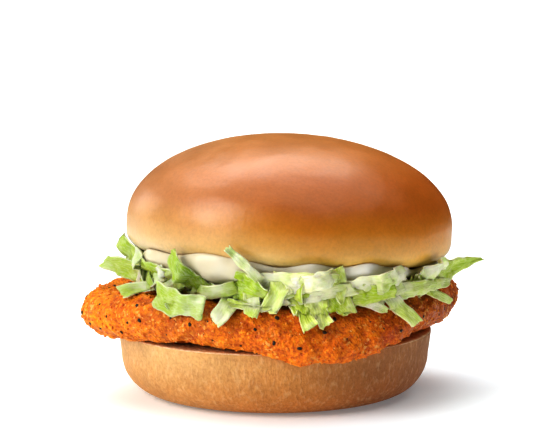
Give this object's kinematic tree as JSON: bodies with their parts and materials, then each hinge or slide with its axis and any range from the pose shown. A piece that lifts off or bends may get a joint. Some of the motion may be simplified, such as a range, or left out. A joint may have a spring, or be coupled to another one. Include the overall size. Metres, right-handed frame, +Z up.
{
  "type": "chicken burger",
  "caption": "Round bun with a breaded chicken patty that overhangs it, shredded lettuce and mayonnaise under a domed, slightly tilted crown.",
  "frame": {"origin": "centre of the heel's flat underside, which rests on the table", "axes": "+Z up through the stack; -Y towards the side with the most filling; +X to that side's right"},
  "size_m": [0.121, 0.1075, 0.0793],
  "materials": {
    "toasted_bun": "matt, soft bread",
    "breading": "rough, slightly oily crumb",
    "lettuce": "moist leaf",
    "mayonnaise": "smooth, soft sheen",
    "glazed_bun": "baked glaze, soft sheen"
  },
  "bodies": {
    "root": {"bun_heel": "toasted_bun", "chicken_patty": "breading", "shredded_lettuce": "lettuce", "mayonnaise": "mayonnaise", "bun_crown": "glazed_bun"}
  },
  "joints": []
}
